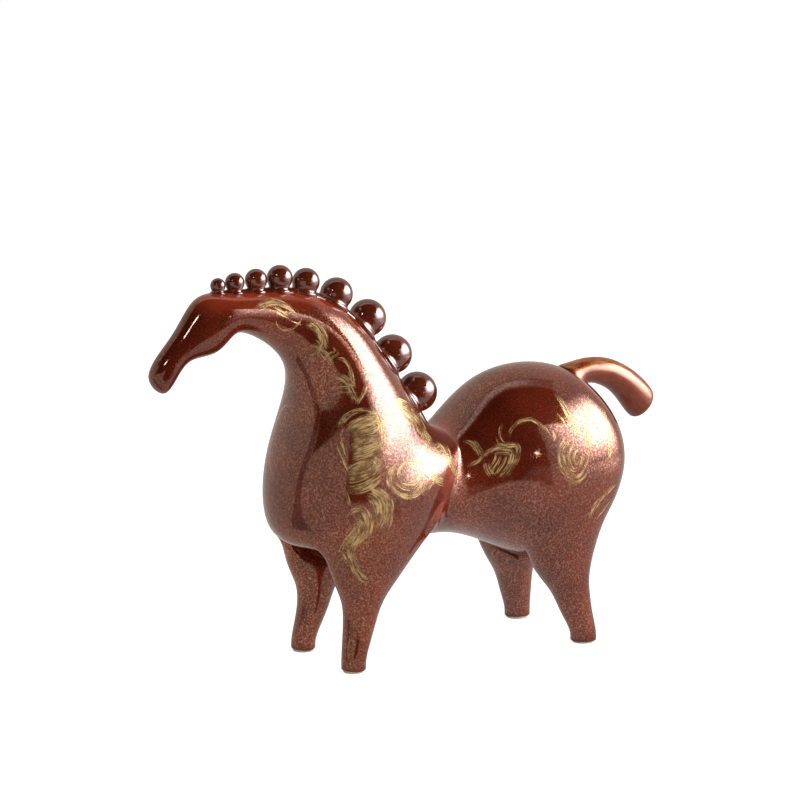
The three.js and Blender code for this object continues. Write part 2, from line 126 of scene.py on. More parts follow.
# Strokes of the brush on the left flank: the width of each, and the points that it passes, (x, z), in
# millimetres like the sections. Where the brush went over a stroke again, the width of the repeat and its
# shift in x and z come after. The right flank has the same strokes.
BRUSHWORK = (
    (3, ((-106.2, 171.9), (-101.4, 173.7), (-95.8, 174.5), (-91.1, 173.3), (-87.8, 171), (-86, 167.8),
        (-84.9, 165.1)), (2.1, 0.8, -1.4)),
    (1.3, ((-102, 172), (-96.2, 170.3), (-91.1, 167.3), (-87.3, 164.7))),
    (1.3, ((-97.7, 172.6), (-93.1, 170.5), (-88.6, 167.1))),
    (1.3, ((-96.1, 167.6), (-94.9, 163.8), (-91.8, 161.3), (-88.2, 161.6), (-84.9, 163.7), (-82.7, 166.7),
        (-83.6, 169.4))),
    (3.2, ((-82.1, 163.1), (-78.8, 162.4), (-76.2, 160), (-74.6, 156.8), (-73.9, 152.7)), (2.2, 1.6, -1.8)),
    (2.5, ((-78.4, 165.1), (-74.8, 163.1), (-72.5, 158.9), (-72.1, 154.4),
        (-70.6, 151.2)), (1.7, -2.2, -0.6)),
    (3.6, ((-80.1, 153.2), (-77.2, 152.7), (-74.7, 150.8), (-72.8, 148.1),
        (-71.4, 144.9)), (2.5, 1.8, -1.2)),
    (2.5, ((-75.8, 158.7), (-73.8, 154.9), (-75.1, 151.3), (-77.9, 150.4)), (1.7, -1.6, -1.8)),
    (1.4, ((-72.5, 145.3), (-70, 148), (-67.7, 149.3), (-68.7, 152.1)), (1.2, -1.4, 1.4)),
    (2.1, ((-69.2, 147.1), (-66.3, 147.1), (-64, 144.7), (-63.2, 141.2), (-63.8, 137.7))),
    (2.6, ((-69, 140.4), (-66.3, 139), (-63.7, 136.8), (-62.5, 133.6)), (1.8, -1.8, -0.8)),
    (2.1, ((-72.9, 133.5), (-69.3, 134.1), (-65.8, 134.6), (-62.4, 134.1)), (1.5, 0.6, -2)),
    (2.6, ((-64, 145.6), (-63.3, 142), (-63.1, 138), (-62.5, 133.6))),
    (2.8, ((-64.7, 136.3), (-63.6, 132.3), (-62.8, 129.2), (-63.3, 126.6)), (2, -1.8, 0.2)),
    (2.1, ((-58, 134.7), (-59.1, 131.7), (-61.6, 128.7), (-63.3, 126.6)), (1.5, 1.4, 1)),
    (1.7, ((-67.3, 137.7), (-64.8, 135.5), (-61.4, 134.5))),
    (2.9, ((-72.2, 114.7), (-70, 119.6), (-65.7, 123.2), (-59.9, 124.3), (-54.5, 121.8))),
    (4.4, ((-59.4, 124.7), (-54.6, 121.3), (-53.2, 115), (-53.7, 107.9), (-52.9, 101.1))),
    (10.5, ((-69.3, 114), (-64, 116.3), (-58, 118), (-52, 119.5))),
    (10.5, ((-69.8, 105.5), (-64, 107.5), (-58, 109.3), (-52.6, 110.9))),
    (10.5, ((-71.6, 96.3), (-65.3, 98.3), (-59, 100.3), (-52.3, 103))),
    (2.6, ((-68.9, 116), (-63.9, 118.1), (-58.2, 119.6), (-52.8, 121.1))),
    (2.6, ((-68.6, 109.8), (-63.9, 111.9), (-58.2, 113.4), (-53.5, 114.9))),
    (2.6, ((-69.3, 103.6), (-64.2, 105.3), (-58.5, 107.2), (-53.8, 108.6))),
    (2.6, ((-70.9, 97.1), (-65.2, 99.1), (-59, 101.1), (-53, 103.3))),
    (3.3, ((-68.5, 117.5), (-63.8, 119.6), (-58.1, 121.1), (-52.8, 122.5))),
    (3.3, ((-68.2, 114.4), (-63.4, 116.5), (-57.7, 118), (-52.8, 119.8))),
    (3.3, ((-68.3, 111.3), (-63.4, 113.4), (-57.7, 114.9), (-52.9, 116.3))),
    (3.3, ((-68.6, 108.2), (-63.9, 110.3), (-58.2, 111.8), (-53.5, 113.3))),
    (3.3, ((-69, 105.1), (-63.9, 106.8), (-58.1, 108.7), (-53.4, 110.1))),
    (3.3, ((-69.3, 102), (-64.2, 103.7), (-58.5, 105.6), (-53.8, 107))),
    (3.3, ((-70.4, 98.8), (-64.9, 100.5), (-58.8, 102.5), (-53.6, 104.3))),
    (4, ((-71.8, 95.2), (-66, 97.4), (-59.1, 99.8), (-52.2, 102.4))),
    (5.5, ((-73.5, 92.5), (-67.5, 93.8), (-60.7, 96.7), (-51.9, 100.1))),
    (6.6, ((-72.9, 90.2), (-67.7, 88.8), (-61.4, 90.8), (-53.2, 96.1))),
    (1.8, ((-73.3, 109.4), (-72.5, 104.6), (-71.1, 99.3), (-70, 93.9))),
    (1.5, ((-69.9, 118.3), (-71.5, 112.1), (-71.2, 106), (-69.5, 100.6))),
    (1.8, ((-72.1, 89.7), (-71, 85.6), (-70.2, 80.5))),
    (2.4, ((-37.5, 93.3), (-39.5, 91.3), (-42.8, 92.6), (-43.1, 95.8), (-39.2, 97.6), (-35.3, 95.7),
        (-34.7, 92.1), (-38, 89.3), (-43.1, 89.4), (-46.2, 92.5), (-45.3, 97), (-40.2, 99.5), (-34.7, 98.3),
        (-31.9, 94.4), (-32.7, 90.1), (-37.1, 86.9), (-43.2, 87.2), (-48, 90.4), (-48.9, 95.6),
        (-45.7, 99.4), (-40, 101.3))),
    (3.2, ((-45.6, 100.3), (-50.4, 97.6), (-52.3, 93.2), (-50.3, 88.4), (-45.5, 84.6), (-39.5, 84),
        (-34.9, 86.2), (-31.5, 90.4), (-29.8, 95)), (2.2, 1.2, -1)),
    (5.1, ((-48.7, 125.2), (-42.6, 126.1), (-35.5, 124.1), (-29, 119.3), (-23.8, 113), (-21.8, 106.6),
        (-20, 100.5), (-19.3, 95.8)), (3.5, -2.6, -1.8)),
    (2.5, ((-42.5, 122.6), (-37.3, 120.5), (-32.4, 115.7), (-28.6, 109.7), (-25.7, 103.5)), (1.8, 2, -2)),
    (2, ((-46.4, 122.7), (-50.7, 119.2), (-52.3, 114))),
    (2.6, ((-49.5, 121), (-44, 121.5), (-38.5, 118.5), (-34.5, 113.5), (-32, 108))),
    (2.2, ((-36, 120), (-31, 115), (-27.5, 108.5), (-25.5, 102), (-23.8, 96))),
    (1.8, ((-50.5, 117), (-46, 117.8), (-41.5, 115), (-38.6, 110.5))),
    (3.2, ((-30.5, 99.1), (-28.5, 95.3), (-26.5, 91.5), (-21.9, 88.6), (-15.5, 86.9)), (2.2, 0.4, -2)),
    (1.9, ((-26.5, 93.7), (-26.2, 90.1), (-28.4, 86.8), (-31.5, 84.9))),
    (3.2, ((-21.9, 102.1), (-16.5, 102.9), (-14.8, 100.6), (-15.2, 96.9), (-14.8, 92.5)), (2.2, 0.5, -2.2)),
    (3.6, ((-12, 103.7), (-13.1, 99.9), (-12.7, 93.9), (-4.5, 84.7)), (2.5, 1.6, -0.5)),
    (1.9, ((-21.6, 99.1), (-18.9, 96.6), (-18.8, 93.6))),
    (4.7, ((-61, 89.4), (-56.5, 87.6), (-52.4, 83.5), (-50.8, 78.6), (-51.6, 73),
        (-53.4, 66.1)), (3.3, -2.4, 0.3)),
    (1.6, ((-56, 83.8), (-53.3, 79.3), (-53.6, 73.7))),
    (8.5, ((-64, 86.5), (-59.5, 84.5), (-56.6, 79.8), (-56.6, 74), (-58.6, 68))),
    (7.5, ((-68.5, 75.5), (-66, 72.5), (-65.5, 68), (-67.5, 63), (-69.5, 58.5))),
    (4.3, ((-69.2, 76.2), (-67.2, 79.9), (-64.1, 79.7), (-61, 75.2), (-60.7, 69.9), (-62.2, 65.2),
        (-65.8, 61)), (3, -1.8, -0.6)),
    (4.3, ((-65.2, 75), (-66.6, 70.3), (-69.2, 66), (-71.4, 61.5), (-72.2, 58))),
    (2.1, ((-68.8, 66), (-69.4, 61.1), (-68.1, 55.7), (-66.3, 49.9), (-63.3, 45.6),
        (-58.6, 42.4)), (1.5, 1.8, 1)),
    (1.8, ((-72.2, 60), (-70.3, 56.1), (-67.8, 51.8))),
    (1.7, ((-66.9, 64.5), (-67.6, 58.6), (-66.1, 52.4))),
    (1.4, ((-67.2, 78), (-65.6, 74.6), (-65.8, 70.7))),
    (2.1, ((19.4, 102.3), (19.5, 105.8), (22.2, 108.8), (26, 110.8), (30.5, 111.5), (33.8, 109.6),
        (36.3, 105.9), (38.1, 102.6))),
    (1.6, ((33.9, 110), (36.6, 107.2), (38.3, 103.5))),
    (2.1, ((39.8, 106.6), (40.7, 103.4), (39.1, 100.3))),
    (1.3, ((32.8, 98.9), (31.5, 96.7), (30.3, 94))),
    (4.4, ((46.2, 122.3), (48.5, 118.7), (50.1, 113.9), (51.7, 108.9), (53.2, 104.2), (53.4, 99.2))),
    (1.5, ((44.1, 113.9), (46.9, 109.3), (48.2, 103.8))),
    (4.6, ((67.2, 118.6), (61.5, 113.3), (59, 106.9), (58, 100.2), (58.3, 93.1), (57, 87.1))),
    (4.6, ((72.7, 115.2), (71.8, 109), (72, 102.7), (71.8, 96.3), (69.8, 89.9), (69.1, 85.2))),
    (2.7, ((49.9, 104.1), (45, 100.8), (41.7, 96), (41.9, 90.3), (44.9, 84.8), (49.2, 81.1), (53.6, 82.1),
        (56.9, 86.1), (58.8, 91.7))),
    (2.7, ((52.5, 103.4), (47.6, 100.6), (44.4, 96.2), (44, 91.6), (46.5, 86.6), (49.7, 83.5), (53.6, 85.5),
        (56.5, 90), (57.5, 96))),
    (2.5, ((53.6, 100.6), (49.5, 98.6), (46.9, 95.1), (46.7, 90.9), (49.2, 86.9), (52.5, 88.5), (54.4, 93),
        (55.5, 98.5))),
    (2.1, ((53.1, 96.9), (50.1, 94.8), (49.3, 91.1), (50.9, 89.1), (52.7, 92.2))),
    (3.3, ((3.9, 94.5), (8.4, 97.3), (13.3, 99.5), (18.3, 100.2), (21.6, 100.1), (22, 96.9), (20.1, 91.9),
        (17, 87.4), (13.3, 83.7))),
    (2.8, ((11.3, 97.7), (15.7, 98.5), (19.2, 97.5), (18.3, 92.9), (15.7, 88.9),
        (11.9, 85.7)), (2, -1.2, -1.6)),
    (2.1, ((14.1, 96.8), (12.8, 93.2), (10.3, 89.5), (8, 86.8)), (1.5, -1.6, 0.6)),
    (2.1, ((6.7, 93.7), (7, 89.6), (9.3, 85.3)), (1.5, 1.8, 0.6)),
    (1.7, ((16.7, 96.2), (15.4, 92.6), (12.9, 89), (10.6, 86.2))),
    (1.3, ((13.5, 103.9), (14.1, 101.3), (16.4, 99.9), (19.9, 101.5))),
    (1.3, ((18.1, 110.3), (15.7, 106.9), (15.4, 103), (17.5, 100.7))),
    (1.6, ((-0.4, 102.1), (2.1, 101.3), (3.6, 98.4), (4.7, 94.9)), (1.2, 1.3, 0.4)),
    (1.6, ((2.1, 102.9), (3.8, 101.3), (4.9, 98), (5.8, 95)), (1.2, 1.3, 0.2)),
    (1.3, ((4.8, 101.5), (5.5, 99), (6, 96.3))),
    (2.1, ((-2.1, 91.1), (1, 92.1), (4.1, 93.6), (7.5, 96.4), (11.1, 98.6))),
    (3.5, ((77.2, 76.9), (70.9, 74.5), (65.8, 71.3), (61.7, 66.9), (59.1, 62.3), (57, 59.1))),
    (1.3, ((75, 70.3), (69.4, 65.8), (64.3, 61.6), (61.3, 59.1))),
)

# Corners round the body, a leg, a bead and the ridge of slip, and steps down the collar of a bead
BODY_SIDES = 12
LEG_SIDES = 8
LEG_COLUMN = BODY_SIDES // 4
BEAD_SIDES = 48
RIDGE_SIDES = 10
COLLAR_STEPS = 6

# The bare clay of a foot, its step in from the glaze, its height and the round of its rim
CLAY_STEP = 0.9 * MM
CLAY_HEIGHT = 2.2 * MM
CLAY_ROUND = 0.4 * MM

# The firing vent: its x, its radius, and where its drill starts and ends, in millimetres
VENT = (17.3, 1.5, 45.0, 62.0)

# The glaze is thin near these rows of the top line and near these points on the shoulder, and few crystals
# grow where it is thin and on the head. Towards the bottom of the feet the crystals fade out, which leaves
# the feet darker there.
CREST_ROWS = (4, 13)
CREST_REACH = 16 * MM
SHOULDER_EDGE = ((-12, 34, 88), (-13, 36, 82), (-14, 36, 76), (-18, 36, 70))
EDGE_REACH = 9 * MM
HEAD_END = -78
HEAD_FADE = 20
FOOT_RIM = 4 * MM
HEAD_CLEAR = 0.45
THIN_CLEAR = 0.4

# How far the joints of the tail, of a collar and of the ridge sink in the body
TAIL_SINK = 0.4 * MM
COLLAR_SINK = 0.08 * MM
RIDGE_SINK = 2.0 * MM

# The ends of the ridge, by the radius of the bead there: how far out, how wide and how high
RIDGE_FRONT = ((2.2, 1.0, -0.3), (1.2, 1.0, 0.1))
RIDGE_BACK = ((1.05, 1.0, 0.1), (1.5, 0.8, -0.3))
RIDGE_DIP = (0.8, 0.4)

# A ribbon of lustre: its steps, the layers that keep strokes apart, the shift of its pattern from stroke to
# stroke, its width at the ends, its thickness by its height, and where it waits before it is laid
STROKE_STEP = 0.8 * MM
STROKE_SIDES = 4
STROKE_LAYERS = 8
STROKE_SHIFT = 31 * MM
STROKE_END = 0.25
STROKE_DEPTH = 2.5
FLANK_REACH = 200 * MM

MOUNTS = {mount["name"]: Vector(mount["pos_m"]) for mount in frame["record"]["mounts"]}
BEADS = sorted(name for name in frame["nodes"] if name.startswith("mane_bead"))
CLAY = ("head", "neck", "fore_barrel", "hind_barrel")
LEGS = ("fore_leg_left", "fore_leg_right", "hind_leg_left", "hind_leg_right")

# The sections are measured from between the feet, and the frame from the middle of the figure.
FORWARD = MOUNTS["foot_fore_left"].x - FORE_LEG["fetlock"][0] * MM


# Modelling

def start_piece(name):
    """An empty mesh object, open in edit mode."""
    bpy.ops.object.select_all(action="DESELECT")
    bpy.ops.object.add(type="MESH", location=(0, 0, 0))
    bpy.context.object.name = name
    bpy.context.object.data.name = name
    bpy.ops.object.mode_set(mode="EDIT")
    return bpy.context.object


def corners():
    """The corners of the mesh that is open in edit mode."""
    mesh = bmesh.from_edit_mesh(bpy.context.object.data)
    mesh.verts.index_update()
    mesh.verts.ensure_lookup_table()
    return mesh.verts


def select_only(indices):
    """Selects these corners and what lies between them."""
    bpy.ops.mesh.select_all(action="DESELECT")
    verts = corners()
    for i in indices:
        verts[i].select = True
    mesh = bmesh.from_edit_mesh(bpy.context.object.data)
    mesh.select_flush(True)
    bmesh.update_edit_mesh(bpy.context.object.data)


def add_ring(sides, centre, high, wide, tip=0.0):
    """A ring of corners, listed from its top over the left flank. Smoothing draws it in to its size."""
    spread = 3 / (2 + cos(2 * pi / sides))
    bpy.ops.mesh.primitive_circle_add(vertices=sides, radius=1, location=(0, 0, 0))
    made = [vert for vert in corners() if vert.select]
    made.sort(key=lambda vert: (atan2(-vert.co.y, vert.co.x) + pi / sides) % (2 * pi))
    ring = [vert.index for vert in made]
    bpy.ops.transform.resize(value=(high * spread, wide * spread, 1), center_override=(0, 0, 0))
    bpy.ops.transform.rotate(value=tip, orient_axis="Y", center_override=(0, 0, 0))
    bpy.ops.transform.translate(value=centre)
    return ring


def add_section(section, origin):
    """The ring of a section across the body or the tail."""
    top_x, top_z, under_x, under_z, half = (size * MM for size in section)
    top = origin + Vector((top_x, 0, top_z))
    under = origin + Vector((under_x, 0, under_z))
    up = top - under
    tip = atan2(up.z, up.x)
    return add_ring(BODY_SIDES, (top + under) / 2, up.length / 2, half, tip)


def pinch(ring, shares):
    """Draws the corners of a body ring in towards the midline on both flanks."""
    verts = corners()
    for k, share in enumerate(shares, start=1):
        for i in (ring[k], ring[-k]):
            verts[i].co.y *= share


def bridge(ring, next_ring):
    select_only([*ring, *next_ring])
    bpy.ops.mesh.bridge_edge_loops()


def cap(ring):
    select_only(ring)
    bpy.ops.mesh.edge_face_add()


def finish_piece():
    """Leaves edit mode with every face pointing out."""
    bpy.ops.mesh.select_all(action="SELECT")
    bpy.ops.mesh.delete_loose(use_verts=True, use_edges=True, use_faces=False)
    bpy.ops.mesh.select_all(action="SELECT")
    bpy.ops.mesh.normals_make_consistent(inside=False)
    bpy.ops.object.mode_set(mode="OBJECT")


def smooth(piece, levels):
    """Subdivides the open cage of the piece for good."""
    modifier = piece.modifiers.new("Smooth", "SUBSURF")
    modifier.levels = levels
    modifier.render_levels = levels
    bpy.ops.object.modifier_apply(modifier=modifier.name)
    bpy.ops.object.shade_smooth()


def make_active(piece):
    bpy.ops.object.select_all(action="DESELECT")
    piece.select_set(True)
    bpy.context.view_layer.objects.active = piece


def paint(piece, name, rule):
    """Stores a number on each corner of the mesh for the piece's material, by its place."""
    layer = piece.data.attributes.new(name, "FLOAT", "POINT")
    layer.data.foreach_set("value", [rule(vert.co) for vert in piece.data.vertices])


def rising(value, low, high):
    """0 at low, 1 at high, and smooth between them."""
    share = min(max((value - low) / (high - low), 0), 1)
    return share * share * (3 - 2 * share)


def lay_on(piece, target, ring, sunk):
    """Lays these corners of the piece just under the surface of the target."""
    group = piece.vertex_groups.new(name="laid")
    group.add(ring, 1.0, "REPLACE")
    modifier = piece.modifiers.new("Lay", "SHRINKWRAP")
    modifier.target = target
    modifier.vertex_group = group.name
    modifier.wrap_mode = "ABOVE_SURFACE"
    modifier.offset = -sunk
    bpy.ops.object.modifier_apply(modifier=modifier.name)
    piece.vertex_groups.clear()


def grow_leg(rings, row, path, side):
    """A leg bridged out of its hip, a patch of the flank two faces long and two faces wide."""
    columns = [LEG_COLUMN + k if side < 0 else BODY_SIDES - LEG_COLUMN - k for k in range(3)]
    patch = [rings[row + k][column] for k in range(3) for column in columns]
    select_only(patch)
    bpy.ops.mesh.delete(type="ONLY_FACE")
    hub = rings[row + 1][columns[1]]
    loop = [corner for corner in patch if corner != hub]
    x, out, _, long, wide = path[-1]
    lip = FOOT_ROUND / 2
    sole = [(x, out, GLAZE_EDGE + lip, long, wide), (x, out, GLAZE_EDGE, long, wide)]
    sole.append((x, out, GLAZE_EDGE, long - lip, wide - lip))
    sole.append((x, out, GLAZE_EDGE + lip, long - 2 * lip, wide - 2 * lip))
    for x, out, z, long, wide in [*path, *sole]:
        centre = Vector((FORWARD + x * MM, side * out * MM, z * MM))
        ring = add_ring(LEG_SIDES, centre, long * MM, wide * MM)
        bridge(loop, ring)
        loop = ring
    cap(loop)


def top_line(station):
    """The point of the smoothed top line at a station, a row number with a share of the way to the next."""
    row = int(station)
    u = station - row
    shares = ((1 - u) ** 3, 4 - 6 * u**2 + 3 * u**3, 1 + 3 * u + 3 * u**2 - 3 * u**3, u**3)
    tops = list(SECTIONS.values())[row - 1 : row + 3]
    x = sum(share * top[0] for share, top in zip(shares, tops)) / 6
    z = sum(share * top[1] for share, top in zip(shares, tops)) / 6
    return Vector((FORWARD + x * MM, 0, z * MM))


def trail(points):
    """Even steps along a smooth curve through the points."""
    ends = [2 * points[0] - points[1], *points, 2 * points[-1] - points[-2]]
    fine = []
    for before, start, end, after in zip(ends, ends[1:], ends[2:], ends[3:]):
        for k in range(16):
            u = k / 16
            turn = 2 * start + (end - before) * u + (2 * before - 5 * start + 4 * end - after) * u**2
            fine.append((turn + (3 * start - before - 3 * end + after) * u**3) / 2)
    fine.append(points[-1])
    walked = [0]
    for a, b in zip(fine, fine[1:]):
        walked.append(walked[-1] + (b - a).length)
    steps = max(round(walked[-1] / STROKE_STEP), 4)
    path = []
    i = 0
    for k in range(steps + 1):
        target = walked[-1] * k / steps
        while i < len(fine) - 2 and walked[i + 1] < target:
            i += 1
        share = (target - walked[i]) / (walked[i + 1] - walked[i])
        path.append(fine[i].lerp(fine[i + 1], min(share, 1)))
    return path


def loft(rings):
    """Bridges the rings in turn and closes both ends."""
    for ring, next_ring in zip(rings, rings[1:]):
        bridge(ring, next_ring)
    cap(rings[0])
    cap(rings[-1])


def ball_of(name):
    """The centre and the radius of a bead, from its CAD node."""
    pole = max((vert.co for vert in frame["nodes"][name].data.vertices), key=lambda co: co.y)
    return Vector((pole.x, 0, pole.z)), pole.y


def strokes():
    """The width and the points of every stroke, repeats among them."""
    for width, points, *repeats in BRUSHWORK:
        yield width, points
        for next_width, right, up in repeats:
            yield next_width, [(round(x + right, 1), round(z + up, 1)) for x, z in points]


class STATUETTE_OT_glazed_body(bpy.types.Operator):
    """The cast figure under its one skin of glaze"""

    bl_idname = "statuette.glazed_body"
    bl_label = "Glazed Body"

    def execute(self, context):
        piece = start_piece("glazed_body")
        rings = [add_section(section, Vector((FORWARD, 0, 0))) for section in SECTIONS.values()]
        for name, shares in WAIST.items():
            pinch(rings[list(SECTIONS).index(name)], shares)
        for ring, next_ring in zip(rings, rings[1:]):
            bridge(ring, next_ring)
        for name, leg in LEG_ROWS.items():
            for side in (-1, 1):
                grow_leg(rings, list(SECTIONS).index(name), list(leg.values()), side)
        cap(rings[0])
        cap(rings[-1])
        finish_piece()
        smooth(piece, context.scene.statuette_sizes.smoothing)
        self.drill_vent(piece)
        self.paint_glaze(piece)
        colours = context.scene.statuette_colours
        material = glaze_material("red_glaze", colours.glaze, colours.thin_glaze, BODY_CRYSTALS, BODY_GLOSS)
        piece.data.materials.append(material)
        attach(piece, "root")
        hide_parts(*CLAY, *LEGS)
        return {"FINISHED"}

    def drill_vent(self, piece):
        """The firing vent, a round hole up through the belly."""
        x, radius, low, high = (size * MM for size in VENT)
        place = (FORWARD + x, 0, (low + high) / 2)
        bpy.ops.object.select_all(action="DESELECT")
        bpy.ops.mesh.primitive_cylinder_add(vertices=32, radius=radius, depth=high - low, location=place)
        drill = bpy.context.object
        modifier = piece.modifiers.new("Vent", "BOOLEAN")
        modifier.object = drill
        modifier.operation = "DIFFERENCE"
        make_active(piece)
        bpy.ops.object.modifier_apply(modifier=modifier.name)
        bpy.data.objects.remove(drill)
        bpy.ops.object.shade_smooth_by_angle(angle=radians(40))

    def paint_glaze(self, piece):
        """Where the glaze runs thin, along the crest and on the shoulder's edge, and where it is clear."""
        first, end = CREST_ROWS
        stations = [first + k / 8 for k in range((end - first) * 8)]
        crest = KDTree(len(stations))
        for i, station in enumerate(stations):
            crest.insert(top_line(station), i)
        crest.balance()
        edge = [Vector((FORWARD + x * MM, y * MM, z * MM)) for x, y, z in SHOULDER_EDGE]

        def thinness(co):
            left = Vector((co.x, abs(co.y), co.z))
            near = min((left - place).length for place in edge)
            along_crest = rising(-crest.find(co)[2], -CREST_REACH, -CREST_REACH / 3)
            return max(along_crest, rising(-near, -EDGE_REACH, -EDGE_REACH / 3))

        def clearness(co):
            forehead = FORWARD + HEAD_END * MM
            on_head = HEAD_CLEAR * rising(-co.x, -forehead, HEAD_FADE * MM - forehead)
            # The crystals fade out towards the bottom of each foot, so the foot comes out darker there.
            on_foot = rising(-co.z, -FOOT_RIM, -FOOT_RIM / 5)
            return max(on_head, on_foot, THIN_CLEAR * thinness(co))

        paint(piece, "thin", thinness)
        paint(piece, "clear", clearness)


class STATUETTE_OT_tail(bpy.types.Operator):
    """The stub of a tail, luted on at the dock"""

    bl_idname = "statuette.tail"
    bl_label = "Tail"

    def execute(self, context):
        piece = start_piece("glazed_tail")
        rings = [add_section(section, top_line(DOCK_STATION)) for section in TAIL.values()]
        loft(rings)
        finish_piece()
        lay_on(piece, bpy.data.objects["glazed_body"], rings[0], TAIL_SINK)
        smooth(piece, context.scene.statuette_sizes.smoothing)
        colours = context.scene.statuette_colours
        # The tail is dusted with gold, and more gold is painted on what faces up as a highlight.
        material = dusted_and_top_lit_material("dusted_glaze", colours.glaze, colours.thin_glaze, colours.dusting_and_top_highlight)
        piece.data.materials.append(material)
        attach(piece, "root")
        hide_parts("tail")
        return {"FINISHED"}


class STATUETTE_OT_mane(bpy.types.Operator):
    """The rolled beads of the mane, each luted to the crest with a collar of slip"""

    bl_idname = "statuette.mane"
    bl_label = "Mane Beads"

    def execute(self, context):
        colours = context.scene.statuette_colours
        deep, thin = colours.dark_glaze, colours.thin_glaze
        material = glaze_material("dark_glaze", deep, thin, BEAD_CRYSTALS, BEAD_GLOSS)
        for name in BEADS:
            self.add_bead(name, context.scene.statuette_sizes.collar, material)
        return {"FINISHED"}

    def add_bead(self, name, collar_share, material):
        """A ball whose underside draws in to a collar and runs out on the crest."""
        body = bpy.data.objects["glazed_body"]
        centre, radius = ball_of(name)
        outward = centre - body.closest_point_on_mesh(centre)[1]
        rise = outward.length

        # The collar is a quarter turn or more of a circle that touches both the ball and the crest.
        bend = radius * collar_share
        reach = ((radius + bend) ** 2 - (rise - bend) ** 2) ** 0.5
        start = atan2(rise - bend, reach)
        arc = [pi - start + (pi / 2 + start) * k / COLLAR_STEPS for k in range(COLLAR_STEPS + 1)]
        collar = [(reach + bend * cos(turn), bend - rise + bend * sin(turn)) for turn in arc]

        piece = start_piece(name + "_ball")
        bpy.ops.mesh.primitive_uv_sphere_add(segments=BEAD_SIDES, ring_count=BEAD_SIDES // 2, radius=radius)
        bpy.ops.mesh.bisect(plane_co=(0, 0, collar[0][1]), plane_no=(0, 0, 1), clear_inner=True)
        bpy.ops.mesh.select_all(action="DESELECT")
        bpy.ops.mesh.select_non_manifold()
        width, height = collar[0]
        for next_width, next_height in collar[1:]:
            bpy.ops.mesh.extrude_region_move()
            bpy.ops.transform.translate(value=(0, 0, next_height - height))
            grow = next_width / width
            bpy.ops.transform.resize(value=(grow, grow, 1), center_override=(0, 0, 0))
            width, height = next_width, next_height
        foot = [vert.index for vert in corners() if vert.select]
        bpy.ops.mesh.edge_face_add()
        bpy.ops.mesh.select_all(action="SELECT")
        tip = atan2(outward.z, outward.x) - pi / 2
        bpy.ops.transform.rotate(value=tip, orient_axis="Y", center_override=(0, 0, 0))
        bpy.ops.transform.translate(value=centre)
        finish_piece()
        lay_on(piece, body, foot, COLLAR_SINK)
        bpy.ops.object.shade_smooth()
        piece.data.materials.append(material)
        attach(piece, "root")
        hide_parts(name)


class STATUETTE_OT_crest_slip(bpy.types.Operator):
    """The low ridge of slip that the beads are bedded in"""

    bl_idname = "statuette.crest_slip"
    bl_label = "Crest Slip"

    def execute(self, context):
        sizes = context.scene.statuette_sizes
        balls = [ball_of(name) for name in BEADS]
        first, last = balls[0], balls[-1]
        ahead = (first[0] - balls[1][0]).normalized()
        behind = (last[0] - balls[-2][0]).normalized()
        beds = [(first[0] + ahead * far * first[1], wide * first[1], rise) for far, wide, rise in RIDGE_FRONT]
        dip_width, dip_rise = RIDGE_DIP
        for (centre, radius), (next_centre, next_radius) in zip(balls, balls[1:]):
            between = next_centre - centre
            gap = between.length - radius - next_radius
            beds.append((centre, radius, sizes.ridge_rise))
            middle = centre + between.normalized() * (radius + gap / 2)
            beds.append((middle, (radius + next_radius) / 2 * dip_width, sizes.ridge_rise * dip_rise))
        beds.append((*last, sizes.ridge_rise))
        beds += [(last[0] + behind * far * last[1], wide * last[1], rise) for far, wide, rise in RIDGE_BACK]

        piece = start_piece("crest_slip")
        rings = [self.add_bed(*bed, sizes.ridge_width) for bed in beds]
        loft(rings)
        finish_piece()
        smooth(piece, 3)
        colours = context.scene.statuette_colours
        deep, thin = colours.dark_glaze, colours.thin_glaze
        piece.data.materials.append(glaze_material("slip_glaze", deep, thin, BEAD_CRYSTALS, BEAD_GLOSS))
        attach(piece, "root")
        return {"FINISHED"}

    def add_bed(self, place, radius, rise, width):
        """A ring across the ridge, part sunk in the crest under this place. Its sizes are by the radius."""
        _, seat, normal, _ = bpy.data.objects["glazed_body"].closest_point_on_mesh(place)
        up = Vector((normal.x, 0, normal.z)).normalized()
        centre = Vector((seat.x, 0, seat.z)) - up * RIDGE_SINK
        return add_ring(RIDGE_SIDES, centre, RIDGE_SINK + rise * radius, width * radius, atan2(up.z, up.x))


class STATUETTE_OT_bare_feet(bpy.types.Operator):
    """The unglazed clay on which the figure stood in the kiln"""

    bl_idname = "statuette.bare_feet"
    bl_label = "Bare Feet"

    def execute(self, context):
        piece = start_piece("bare_feet")
        for name, mount in MOUNTS.items():
            long, wide = (FORE_LEG if "fore" in name else HIND_LEG)["fetlock"][3:]
            bpy.ops.mesh.select_all(action="DESELECT")
            radius = (long + wide) / 2 * MM - CLAY_STEP
            place = mount + Vector((0, 0, CLAY_HEIGHT / 2))
            bpy.ops.mesh.primitive_cylinder_add(vertices=48, radius=radius, depth=CLAY_HEIGHT, location=place)
            rim = [vert.index for vert in corners() if vert.select and vert.co.z < CLAY_HEIGHT / 2]
            select_only(rim)
            bpy.ops.mesh.bevel(offset=CLAY_ROUND, segments=3, affect="EDGES")
        finish_piece()
        bpy.ops.object.shade_smooth_by_angle(angle=radians(50))
        piece.data.materials.append(clay_material("bare_clay", context.scene.statuette_colours.clay))
        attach(piece, "root")
        return {"FINISHED"}


